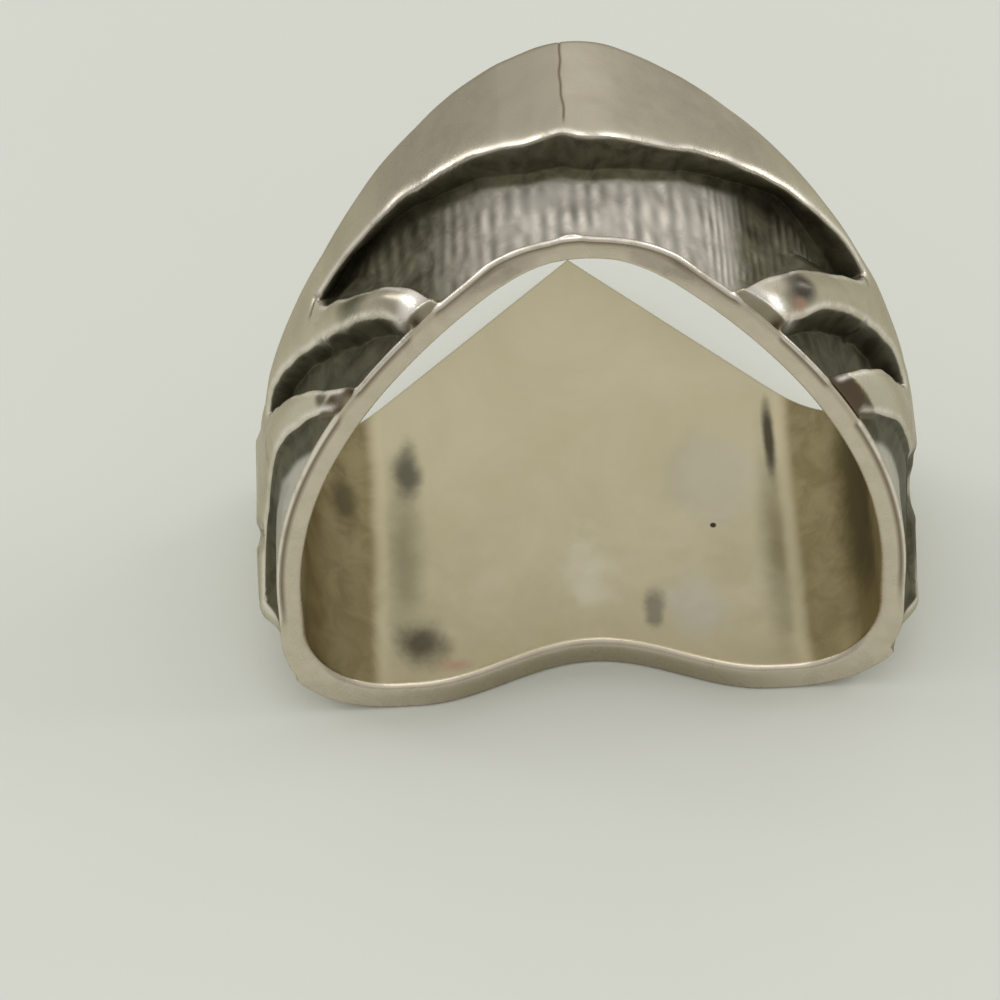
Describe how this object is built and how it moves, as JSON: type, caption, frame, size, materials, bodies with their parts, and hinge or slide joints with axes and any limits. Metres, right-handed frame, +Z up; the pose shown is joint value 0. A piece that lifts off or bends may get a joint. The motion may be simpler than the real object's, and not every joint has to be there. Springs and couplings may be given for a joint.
{
  "type": "silver ring",
  "caption": "Pointed-arch silver finger ring with swept cut-outs down the sides and a broad pointed plate that it lies on.",
  "frame": {"origin": "centre of the bounding box's footprint, on the table under the plate", "axes": "+X across the ring, +Y along the finger towards the plate's point, +Z up from the plate to the peak of the arch"},
  "size_m": [0.023, 0.0192, 0.0225],
  "materials": {
    "silver": "worn polished silver, darkened in the cut-outs"
  },
  "bodies": {
    "root": {"ring": "silver"}
  },
  "joints": []
}
